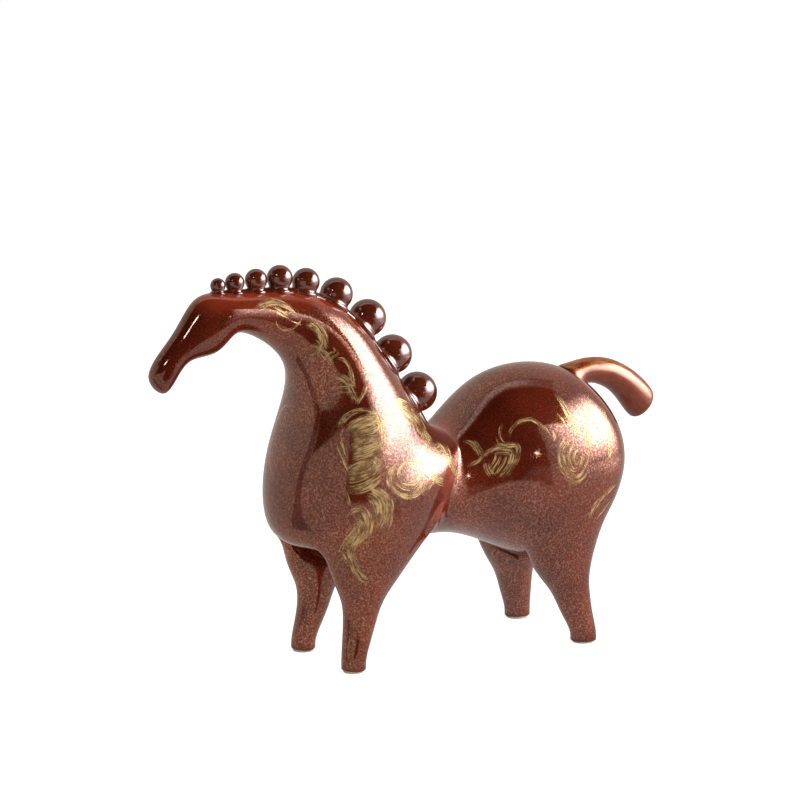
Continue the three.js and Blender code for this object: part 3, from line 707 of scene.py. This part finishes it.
class STATUETTE_OT_brushwork(bpy.types.Operator):
    """Scrolls of gold lustre, brushed on over the glaze on both flanks"""

    bl_idname = "statuette.brushwork"
    bl_label = "Brushwork"

    def execute(self, context):
        sizes = context.scene.statuette_sizes
        material = lustre_material("gold_lustre", context.scene.statuette_colours.lustre, sizes.bristle)
        for name, side in (("brushwork_left", -1), ("brushwork_right", 1)):
            piece = start_piece(name)
            ends = [self.add_stroke(n, width * MM, path, side) for n, (width, path) in enumerate(strokes())]
            bpy.ops.object.mode_set(mode="OBJECT")
            self.lay_strokes(piece, ends, side, sizes.lustre_height)
            piece.data.materials.append(material)
            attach(piece, "root")
        return {"FINISHED"}

    def add_stroke(self, number, width, points, side):
        """A flat ribbon along its points that tapers to both ends. Returns the count of corners so far."""
        path = trail([Vector((FORWARD + x * MM, 0, z * MM)) for x, z in points])
        steps = len(path) - 1
        bpy.ops.mesh.select_all(action="DESELECT")
        bpy.ops.mesh.primitive_grid_add(x_subdivisions=steps, y_subdivisions=STROKE_SIDES, size=1)
        mesh = bmesh.from_edit_mesh(bpy.context.object.data)
        brush = mesh.loops.layers.uv.get("Brush") or mesh.loops.layers.uv.new("Brush")
        stroke = mesh.loops.layers.uv.get("Stroke") or mesh.loops.layers.uv.new("Stroke")
        length = sum((b - a).length for a, b in zip(path, path[1:]))
        for face in mesh.faces:
            for loop in face.loops if face.select else ():
                along, across = loop.vert.co.x + 0.5, loop.vert.co.y
                shift = number * STROKE_SHIFT
                loop[brush].uv = (along * length + shift, across * width + shift)
                loop[stroke].uv = (along, across + 0.5)
        for vert in mesh.verts:
            if vert.select:
                i = round((vert.co.x + 0.5) * steps)
                ahead = (path[min(i + 1, steps)] - path[max(i - 1, 0)]).normalized()
                over = Vector((side * ahead.z, 0, -side * ahead.x))
                taper = STROKE_END + (1 - STROKE_END) * sin(pi * min(max(i / steps, 0), 1)) ** 0.6
                vert.co = path[i] + over * vert.co.y * width * taper + Vector((0, side * FLANK_REACH, 0))
        bmesh.update_edit_mesh(bpy.context.object.data)
        return len(mesh.verts)

    def lay_strokes(self, piece, ends, side, height):
        """Lays the ribbons on the flank, later strokes over earlier ones, and gives them their thickness."""
        group = piece.vertex_groups.new(name="layer")
        for n, (first, end) in enumerate(zip([0, *ends], ends)):
            group.add(list(range(first, end)), (n % STROKE_LAYERS) / STROKE_LAYERS, "REPLACE")
        wrap = piece.modifiers.new("Lay", "SHRINKWRAP")
        wrap.target = bpy.data.objects["glazed_body"]
        wrap.wrap_method = "PROJECT"
        wrap.wrap_mode = "ABOVE_SURFACE"
        wrap.use_project_y = True
        wrap.use_positive_direction = side < 0
        wrap.use_negative_direction = side > 0
        wrap.offset = height
        lift = piece.modifiers.new("Layer", "DISPLACE")
        lift.direction = "Y"
        lift.vertex_group = group.name
        lift.mid_level = 0
        lift.strength = side * height
        thick = piece.modifiers.new("Thickness", "SOLIDIFY")
        thick.thickness = STROKE_DEPTH * height
        thick.offset = -1
        make_active(piece)
        for modifier in (wrap, lift, thick):
            bpy.ops.object.modifier_apply(modifier=modifier.name)
        if max(abs(vert.co.y) for vert in piece.data.vertices) > FLANK_REACH / 2:
            raise RuntimeError("a stroke of " + piece.name + " misses the flank")
        piece.vertex_groups.clear()
        bpy.ops.object.shade_smooth_by_angle(angle=radians(40))


# Shading

class Value:
    """A number from a node, which can be reckoned with."""

    def __init__(self, tree, socket):
        self.tree = tree
        self.socket = socket

    def _maths(self, operation, *values):
        return self.tree.node("ShaderNodeMath", {"operation": operation}, dict(enumerate(values)))

    def __add__(self, other):
        return self._maths("ADD", self, other)

    def __sub__(self, other):
        return self._maths("SUBTRACT", self, other)

    def __rsub__(self, other):
        return self._maths("SUBTRACT", other, self)

    def __mul__(self, other):
        return self._maths("MULTIPLY", self, other)

    __radd__ = __add__
    __rmul__ = __mul__

    def clamped(self):
        return self.tree.node("ShaderNodeClamp", {}, {"Value": self})

    def between(self, low, high):
        """Rises smoothly from 0 at low to 1 at high."""
        inputs = {"Value": self, "From Min": low, "From Max": high}
        return self.tree.node("ShaderNodeMapRange", {"interpolation_type": "SMOOTHSTEP"}, inputs)


class Shader:
    """The nodes of a material or of the world."""

    def __init__(self, owner):
        owner.use_nodes = True
        self.tree = owner.node_tree
        self.tree.nodes.clear()

    def node(self, kind, settings, inputs, output=0):
        """Adds a node, sets it, fills its inputs with values or links, and gives one of its outputs."""
        made = self.tree.nodes.new(kind)
        for name, setting in settings.items():
            setattr(made, name, setting)
        for name, value in inputs.items():
            if isinstance(value, Value):
                self.tree.links.new(value.socket, made.inputs[name])
            else:
                made.inputs[name].default_value = value
        return Value(self, made.outputs[output])

    def place(self):
        return self.node("ShaderNodeTexCoord", {}, {}, "Object")

    def part(self, vector, axis):
        return self.node("ShaderNodeSeparateXYZ", {}, {"Vector": vector}, axis)

    def noise(self, size, detail=2.0, roughness=0.5, place=None):
        """Soft noise with features about this many metres across."""
        place = place or self.place()
        inputs = {"Vector": place, "Scale": 1 / size, "Detail": detail, "Roughness": roughness}
        return self.node("ShaderNodeTexNoise", {}, inputs, "Fac")

    def blend(self, share, first, second):
        """One colour over another."""
        inputs = {0: share, 6: first, 7: second}
        return self.node("ShaderNodeMix", {"data_type": "RGBA"}, inputs, 2)

    def uv(self, name):
        return self.node("ShaderNodeUVMap", {"uv_map": name}, {})

    def attribute(self, name):
        return self.node("ShaderNodeAttribute", {"attribute_name": name}, {}, "Fac")

    def stretched(self, place, scale):
        return self.node("ShaderNodeMapping", {}, {"Vector": place, "Scale": scale})

    def principled(self, base, roughness, normal, others):
        inputs = {"Base Color": base, "Roughness": roughness, "Normal": normal, **others}
        return self.node("ShaderNodeBsdfPrincipled", {}, inputs, "BSDF")

    def bump(self, height, depth):
        return self.node("ShaderNodeBump", {}, {"Height": height, "Distance": depth, "Strength": 1.0})

    def uneven(self, size):
        """The slight swell of a fired glaze."""
        return self.bump(self.noise(size, detail=1.0), GLAZE_SWELL)

    def over(self, share, under, upper):
        """A share of one finish over another."""
        return self.node("ShaderNodeMixShader", {}, {0: share, 1: under, 2: upper})

    def surface(self, shader, kind="ShaderNodeOutputMaterial"):
        output = self.tree.nodes.new(kind)
        self.tree.links.new(shader.socket, output.inputs["Surface"])


def colour(red, green, blue):
    """A colour written as it shows on a screen, 0 to 255."""
    parts = [level / 255 for level in (red, green, blue)]
    linear = [part / 12.92 if part <= 0.04045 else ((part + 0.055) / 1.055) ** 2.4 for part in parts]
    return (*linear, 1.0)


def shade(tone, share):
    """A darker tone of the same colour."""
    return (*[part * share for part in tone[:3]], 1)


# The crystals in the glaze: their two colours, their size, how sharply they stand apart, and their share in
# the body's glaze and in the beads'
COPPER = colour(206, 112, 60)
ROSE = colour(232, 176, 150)
CRYSTAL_SIZE = 0.85 * MM
GRAIN = 7.0
BODY_CRYSTALS = 0.19
BEAD_CRYSTALS = 0.03

# The gloss of the glaze on the body, the beads and the tail, as its index of refraction, and its swell
BODY_GLOSS = 1.58
BEAD_GLOSS = 1.85
TAIL_GLOSS = 1.5
GLAZE_SWELL = 0.1 * MM

# Streaks of dust on the tail and the length of a brush hair's mark: stretches of their noise
DUST_STREAKS = (110, 700, 240)
HAIR_RUN = 13
FINE_RUN = 20


def glaze_material(name, deep, thin, share, gloss_index):
    """Iron-red glaze: clear gloss over a mottled ground, with a share of fine coppery crystals in it."""
    material = bpy.data.materials.new(name)
    shader = Shader(material)
    cloud = shader.noise(26 * MM, detail=3.0).between(0.3, 0.75)
    grain = shader.noise(CRYSTAL_SIZE, detail=2.0, roughness=0.6)
    worn = shader.noise(3 * MM, detail=2.0) * 0.6 + 0.5
    ground = shader.blend((cloud * 0.25 + shader.attribute("thin") * worn).clamped(), deep, thin)
    skin = shader.uneven(16 * MM)
    gloss = shader.principled(ground, 0.05, skin, {"IOR": gloss_index})
    glint = shader.blend(grain.between(0.45, 0.66), COPPER, ROSE)
    copper = shader.principled(glint, 0.14, skin, {"Metallic": 1.0})
    crystals = (grain * GRAIN + (1 - 0.5 * GRAIN)) * share * (cloud * 0.5 + 0.75)
    crystals = (crystals * (1 - shader.attribute("clear"))).clamped()
    shader.surface(shader.over(crystals, gloss, copper))
    return material


def dusted_and_top_lit_material(name, deep, thin, gold):
    """Dark glaze, dusted with gold in streaks and grains. The share of gold grows on faces that point up, a
    painted highlight where the light from above falls.
    """
    material = bpy.data.materials.new(name)
    shader = Shader(material)
    grain = shader.noise(0.7 * MM, detail=2.0, roughness=0.7)
    streaks = shader.noise(1.0, detail=2.0, place=shader.stretched(shader.place(), DUST_STREAKS))
    # The gold's share rises on faces that point up: a painted highlight from the light above, laid over the
    # real streaks and grains of gold.
    up = shader.part(shader.node("ShaderNodeNewGeometry", {}, {}, "Normal"), 2)
    gold_dust_and_highlight = (up.between(0.05, 1.0) * 0.4 + 0.05) * (grain * 3 + streaks * 5 - 3)
    skin = shader.uneven(12 * MM)
    ground = [dark * 0.7 + pale * 0.3 for dark, pale in zip(deep, thin)]
    gloss = shader.principled(ground, 0.07, skin, {"IOR": TAIL_GLOSS})
    gilt = shader.principled(gold, 0.28, skin, {"Metallic": 1.0})
    shader.surface(shader.over(gold_dust_and_highlight.clamped(), gloss, gilt))
    return material


def lustre_material(name, gold, bristle):
    """Gold lustre that the hairs of a brush have parted into fine lines."""
    material = bpy.data.materials.new(name)
    shader = Shader(material)
    brush, stroke = shader.uv("Brush"), shader.uv("Stroke")
    hair_scale = (1 / (HAIR_RUN * bristle), 1 / bristle, 1)
    hairs = shader.noise(1.0, detail=2.0, place=shader.stretched(brush, hair_scale))
    along, across = shader.part(stroke, 0), shader.part(stroke, 1)
    loaded = along.between(0, 0.2) * along.between(1, 0.7)
    loaded = loaded * across.between(0, 0.2) * across.between(1, 0.8)
    fine_scale = (1 / (FINE_RUN * bristle), 2.6 / bristle, 1)
    fine = shader.noise(1.0, detail=1.0, place=shader.stretched(brush, fine_scale))
    line = (hairs - (0.66 - loaded * 0.15)).between(-0.04, 0.06) * (fine.between(0.3, 0.55) * 0.7 + 0.3)
    patchy = shader.noise(5 * MM, detail=1.0).between(0.3, 0.6)
    cover = (line * (0.26 + patchy * 0.38) + loaded * (patchy * 0.2 + 0.07)).clamped()
    tone = shader.blend(hairs.between(0.4, 0.65), shade(gold, 0.6), gold)
    skin = shader.bump(hairs, 0.03 * MM)
    shader.surface(shader.principled(tone, 0.38, skin, {"Metallic": 0.45, "Alpha": cover}))
    return material


def clay_material(name, clay):
    """Bare fired clay, matt and a little scorched."""
    material = bpy.data.materials.new(name)
    shader = Shader(material)
    grit = shader.noise(0.5 * MM, detail=3.0, roughness=0.7)
    scorch = shader.noise(7 * MM, detail=2.0).between(0.4, 0.7)
    tone = shader.blend(scorch * 0.5 + grit * 0.4, clay, shade(clay, 0.55))
    shader.surface(shader.principled(tone, 0.85, shader.bump(grit, 0.05 * MM), {}))
    return material


# Stage

# The camera of the photo: its angle round the figure and above the floor in degrees, its distance and its
# lens, and the point that it aims at in millimetres like the sections
CAMERA_AZIMUTH = -30.8
CAMERA_ELEVATION = 10
CAMERA_DISTANCE = 1.7
CAMERA_LENS = 159.885
CAMERA_AIM = (-6.262, 27.383, 115.209)

# How bright the floor and the room show, and the room's light on the figure
FLOOR_WHITE = 1.48
FLOOR_SHARE = 0.6
WORLD_WHITE = 0.95
WORLD_LIGHT = 0.35

# Lamps, with their places, sizes and powers, and the point that they light
LAMPS = (
    ("key", (0.8, -0.55, 0.55), 0.8, 16),
    ("fill", (-0.7, -0.9, 0.7), 1.0, 3),
    ("back", (0.1, 1.0, 0.9), 1.0, 6),
)
LAMP_AIM = Vector((0, 0, 0.1))


def toward(azimuth, elevation=0):
    """The direction from the figure to an angle round it and above the floor, in degrees."""
    turn, rise = radians(azimuth), radians(elevation)
    away = Vector((sin(turn), -cos(turn), 0)) * cos(rise)
    away.z = sin(rise)
    return away


def upright(azimuth, distance, left, right, low, high):
    """The corners of an upright card."""
    away = toward(azimuth)
    side = Vector((-away.y, away.x, 0))
    start, end = away * distance + side * left, away * distance + side * right
    foot, head = Vector((0, 0, low)), Vector((0, 0, high))
    return start + foot, end + foot, end + head, start + head


def facing(start, azimuth, elevation, distance, long, wide):
    """The corners of a small card that faces a point on the figure."""
    away = toward(azimuth, elevation)
    across = away.cross(Vector((0, 0, 1))).normalized()
    middle = Vector(start) + away * distance
    right, up = across * long / 2, across.cross(away) * wide / 2
    return middle - right - up, middle + right - up, middle + right + up, middle - right + up


# Cards that only reflections show, by their light: a grey room and its floor, black screens, a strip and a
# soft light with its pool on the floor, two small lights, and the dark gap of a door on the left. Each has
# its four corners, counted round.
LOW = 0.5 * MM
LIGHTS = {
    "room_light": {"strength": 0.64, "tint": (1, 0.91, 0.81, 1)},
    "black_card": {"strength": 0.0},
    "strip_light": {"strength": 1.0, "soft": 0.3, "rim": 0.25},
    "soft_light": {"strength": 14.0, "soft": 0.4, "rim": 0.55, "tint": (0.97, 0.98, 1, 1)},
    "floor_glow": {"strength": 2.4, "soft": 0.45, "rim": 0.6},
    "spot_light": {"strength": 22.0, "soft": 0.2},
    "dim_card": {"strength": 0.22},
}
CARDS = {
    "floor_card": ("room_light", (-3, -3, LOW / 2), (3, -3, LOW / 2), (3, 3, LOW / 2), (-3, 3, LOW / 2)),
    "front_card": ("black_card", (-0.62, -0.9, 0), (0.24, -0.9, 0), (0.24, -0.9, 0.75), (-0.62, -0.9, 0.75)),
    "apron_card": (
        "black_card", (-0.62, -0.9, LOW), (0.24, -0.9, LOW), (0.105, -0.27, LOW), (-0.30, -0.40, LOW)
    ),
    "left_card": ("black_card", (-0.45, -0.3, 0.3), (0, -0.3, 0.19), (0, -0.3, 0.89), (-0.45, -0.3, 0.89)),
    "head_card": (
        "black_card", (-0.45, 0.05, 0.21), (-0.45, -0.3, 0.30), (-0.45, -0.3, 0.89), (-0.45, 0.05, 0.89)
    ),
    "canopy_card": (
        "black_card", (-0.9, 0.45, 0.75), (-0.9, -0.9, 0.75), (0.6, -0.9, 0.75), (0.43, -0.1, 0.75)
    ),
    "strip_card": (
        "strip_light", (-0.60, 0.326, 0.76), (0.43, -0.1, 0.76), (0.50, 0.10, 0.76), (-0.53, 0.526, 0.76)
    ),
    "soft_card": ("soft_light", *upright(55, 1.2, -1.15, 1.35, -0.25, 1.62)),
    "pool_card": ("floor_glow", (0.1, -1.2, LOW), (1.6, -0.9, LOW), (1.3, 0.5, LOW), (0.0, 0.05, LOW)),
    "nose_card": ("spot_light", *facing((-0.118, -0.006, 0.165), -58, 37, 0.46, 0.064, 0.040)),
    "rump_card": ("spot_light", *facing((0.044, -0.036, 0.095), 6, 5.5, 0.8, 0.05, 0.032)),
    "gap_card": (
        "dim_card", (-0.68, 0.105, 0), (-0.65, 0.205, 0), (-0.65, 0.205, 0.32), (-0.68, 0.105, 0.32)
    ),
    "gap_floor_card": (
        "dim_card", (-0.68, 0.105, LOW), (-0.65, 0.205, LOW), (-0.16, 0.05, LOW), (-0.16, -0.02, LOW)
    ),
}


def add_card(name, material, places):
    """A flat card by its four corners, counted round, seen only in reflections."""
    bpy.ops.object.select_all(action="DESELECT")
    bpy.ops.mesh.primitive_plane_add(size=1, location=(0, 0, 0))
    card = bpy.context.object
    card.name = name
    for vert, place in zip(card.data.vertices, (places[0], places[1], places[3], places[2])):
        vert.co = place
    finish_card(card, material)


def finish_card(card, material):
    """Leaves the card to be seen in reflections alone."""
    card.data.materials.append(material)
    for ray in ("camera", "diffuse", "transmission", "volume_scatter", "shadow"):
        setattr(card, "visible_" + ray, False)


def glow_material(name, strength, soft=0.0, rim=0.0, tint=(1, 1, 1, 1)):
    """Plain light, fading to the rim's strength towards the edges of its card over a share of it."""
    material = bpy.data.materials.new(name)
    shader = Shader(material)
    power = strength
    if soft:
        across = shader.node("ShaderNodeTexCoord", {}, {}, "UV")
        u, v = shader.part(across, 0), shader.part(across, 1)
        inner = u.between(0, soft) * u.between(1, 1 - soft) * v.between(0, soft) * v.between(1, 1 - soft)
        power = inner * inner * (strength - rim) + rim
    shader.surface(shader.node("ShaderNodeEmission", {}, {"Color": tint, "Strength": power}))
    return material


class STATUETTE_OT_stage(bpy.types.Operator):
    """A pale floor, plain studio light and the camera"""

    bl_idname = "statuette.stage"
    bl_label = "Stage"

    def execute(self, context):
        context.scene.view_settings.view_transform = "Standard"
        self.add_camera()
        self.add_floor()
        self.add_world()
        self.add_cards()
        self.add_lamps()
        return {"FINISHED"}

    def add_camera(self):
        azimuth, elevation = radians(CAMERA_AZIMUTH), radians(CAMERA_ELEVATION)
        x, y, z = (size * MM for size in CAMERA_AIM)
        back = Vector((sin(azimuth) * cos(elevation), -cos(azimuth) * cos(elevation), sin(elevation)))
        place = Vector((x + FORWARD, y, z)) + back * CAMERA_DISTANCE
        bpy.ops.object.camera_add(location=place, rotation=(pi / 2 - elevation, 0, azimuth))
        camera = bpy.context.object
        camera.data.lens = CAMERA_LENS
        bpy.context.scene.camera = camera

    def add_floor(self):
        bpy.ops.mesh.primitive_plane_add(size=12, location=(0, 0, 0))
        floor = bpy.context.object
        floor.name = "floor"
        material = bpy.data.materials.new("pale_floor")
        shader = Shader(material)
        seen = self.seen(shader)
        matt = shader.node("ShaderNodeBsdfDiffuse", {}, {"Color": (0.9, 0.9, 0.9, 1)})
        white = shader.node("ShaderNodeEmission", {}, {"Color": (1, 1, 1, 1), "Strength": FLOOR_WHITE})
        shader.surface(shader.over(seen * FLOOR_SHARE, matt, white))
        floor.data.materials.append(material)

    def seen(self, shader):
        """1 for rays that show the background itself."""
        camera, glossy, transmission = (
            shader.node("ShaderNodeLightPath", {}, {}, "Is " + ray + " Ray")
            for ray in ("Camera", "Glossy", "Transmission")
        )
        return (camera + glossy + transmission).clamped()

    def add_world(self):
        world = bpy.data.worlds.new("studio")
        bpy.context.scene.world = world
        shader = Shader(world)
        strength = self.seen(shader) * WORLD_WHITE + WORLD_LIGHT
        light = shader.node("ShaderNodeBackground", {}, {"Color": (1, 1, 1, 1), "Strength": strength})
        shader.surface(light, "ShaderNodeOutputWorld")

    def add_cards(self):
        bpy.ops.mesh.primitive_uv_sphere_add(segments=32, ring_count=16, radius=4, location=(0, 0, 0))
        room = bpy.context.object
        room.name = "room_card"
        lights = {name: glow_material(name, **settings) for name, settings in LIGHTS.items()}
        finish_card(room, lights["room_light"])
        for name, (light, *places) in CARDS.items():
            add_card(name, lights[light], places)

    def add_lamps(self):
        for name, place, size, power in LAMPS:
            place = Vector(place)
            bpy.ops.object.light_add(type="AREA", location=place)
            lamp = bpy.context.object
            lamp.name = name
            lamp.rotation_euler = (LAMP_AIM - place).to_track_quat("-Z", "Y").to_euler()
            lamp.data.shape = "DISK"
            lamp.data.size = size
            lamp.data.energy = power
            lamp.visible_glossy = False


# Panel and settings

def length_setting(name, description, default):
    return FloatProperty(
        name=name, description=description, default=default, min=0, unit="LENGTH", precision=5
    )


def share_setting(name, description, default):
    return FloatProperty(name=name, description=description, default=default, subtype="FACTOR")


def colour_setting(name, description, default):
    return FloatVectorProperty(
        name=name, description=description, default=default, size=4, min=0, max=1, subtype="COLOR"
    )


class StatuetteSizes(bpy.types.PropertyGroup):
    smoothing: IntProperty(
        name="Smoothing", description="Rounds of smoothing of the clay", default=4, min=1, max=5
    )
    collar: share_setting("Collar", "Bend of the slip under a bead, by the bead's radius", 0.24)
    ridge_rise: share_setting("Ridge Rise", "Height of the ridge of slip, by the bead's radius", 0.42)
    ridge_width: share_setting("Ridge Width", "Half the ridge's width, by the bead's radius", 0.92)
    bristle: length_setting("Bristle", "Distance between the hairs of the brush", 0.52 * MM)
    lustre_height: length_setting("Lustre Height", "How far the lustre stands proud of the glaze", 0.03 * MM)


class StatuetteColours(bpy.types.PropertyGroup):
    glaze: colour_setting("Glaze", "The glaze where it is deep", colour(74, 22, 10))
    thin_glaze: colour_setting("Thin Glaze", "The glaze where it breaks over an edge", colour(142, 52, 27))
    dark_glaze: colour_setting("Dark Glaze", "The glaze of the beads", colour(66, 25, 12))
    # The tail's gold, also used for its painted highlight on what faces up.
    dusting_and_top_highlight: colour_setting("Dusting", "The gold dust on the tail", colour(216, 142, 88))
    lustre: colour_setting("Lustre", "The brushed gold", colour(214, 176, 118))
    clay: colour_setting("Clay", "The bare clay of the feet", colour(206, 190, 168))


class STATUETTE_PT_panel(bpy.types.Panel):
    bl_idname = "STATUETTE_PT_panel"
    bl_label = "Horse Statuette"
    bl_space_type = "VIEW_3D"
    bl_region_type = "UI"
    bl_category = "Statuette"

    def draw(self, context):
        for settings in (context.scene.statuette_sizes, context.scene.statuette_colours):
            box = self.layout.box()
            for name in settings.__annotations__:
                box.prop(settings, name)
        for operator in OPERATORS:
            self.layout.operator(operator.bl_idname)


OPERATORS = (
    STATUETTE_OT_glazed_body,
    STATUETTE_OT_tail,
    STATUETTE_OT_mane,
    STATUETTE_OT_crest_slip,
    STATUETTE_OT_bare_feet,
    STATUETTE_OT_brushwork,
    STATUETTE_OT_stage,
)
CLASSES = (StatuetteSizes, StatuetteColours, *OPERATORS, STATUETTE_PT_panel)


def register():
    for cls in CLASSES:
        bpy.utils.register_class(cls)
    bpy.types.Scene.statuette_sizes = PointerProperty(type=StatuetteSizes)
    bpy.types.Scene.statuette_colours = PointerProperty(type=StatuetteColours)


def unregister():
    del bpy.types.Scene.statuette_colours
    del bpy.types.Scene.statuette_sizes
    for cls in reversed(CLASSES):
        bpy.utils.unregister_class(cls)


def main():
    register()
    bpy.ops.statuette.glazed_body()
    bpy.ops.statuette.tail()
    bpy.ops.statuette.mane()
    bpy.ops.statuette.crest_slip()
    bpy.ops.statuette.bare_feet()
    bpy.ops.statuette.brushwork()
    bpy.ops.statuette.stage()


if __name__ == "__main__":
    main()
